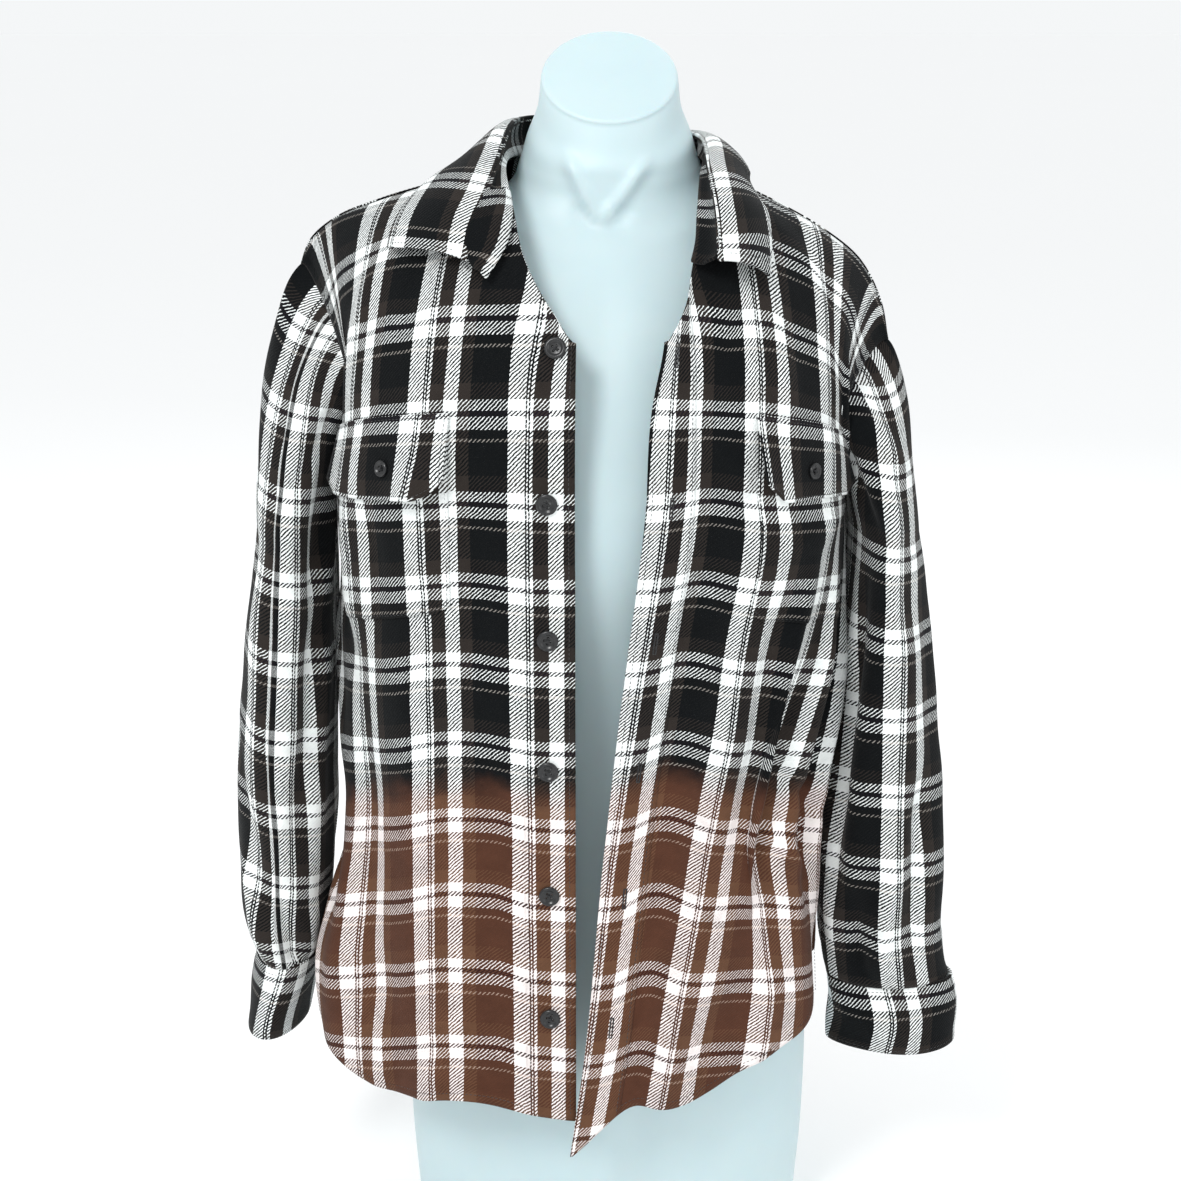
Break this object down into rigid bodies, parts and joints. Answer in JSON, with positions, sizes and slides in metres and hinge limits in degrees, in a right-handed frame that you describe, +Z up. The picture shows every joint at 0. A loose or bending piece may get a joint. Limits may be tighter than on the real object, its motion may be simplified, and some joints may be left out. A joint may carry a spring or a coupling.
{
  "type": "flannel shirt on a torso display form",
  "caption": "Long-sleeved checked flannel shirt with collar, flap pockets and buttoned cuffs, worn open on a smooth torso display form without head or arms.",
  "frame": {"origin": "centre of the form's flat base, on the surface it stands on", "axes": "+Z up, -Y the way the shirt's open front faces, +X the wearer's left"},
  "size_m": [0.5555, 0.2908, 0.92],
  "materials": {
    "flannel": "brushed cotton twill, yarn-dyed check in black, charcoal and white, its lower body faded to rust brown",
    "button": "moulded black, glossy, raised rim",
    "form": "smooth pale plastic with a soft gloss"
  },
  "bodies": {
    "root": {"front_right": "flannel", "front_left": "flannel", "back": "flannel", "yoke": "flannel", "placket_right": "flannel", "placket_left": "flannel", "collar_stand": "flannel", "collar_leaf": "flannel", "sleeve_right": "flannel", "sleeve_left": "flannel", "sleeve_placket_right": "flannel", "sleeve_placket_left": "flannel", "cuff_right": "flannel", "cuff_left": "flannel", "pocket_right": "flannel", "pocket_left": "flannel", "flap_right": "flannel", "flap_left": "flannel", "button_1": "button", "button_2": "button", "button_3": "button", "button_4": "button", "button_5": "button", "button_6": "button", "collar_button": "button", "flap_button_right": "button", "flap_button_left": "button", "cuff_button_right": "button", "cuff_button_left": "button", "torso_form": "form"}
  },
  "joints": []
}
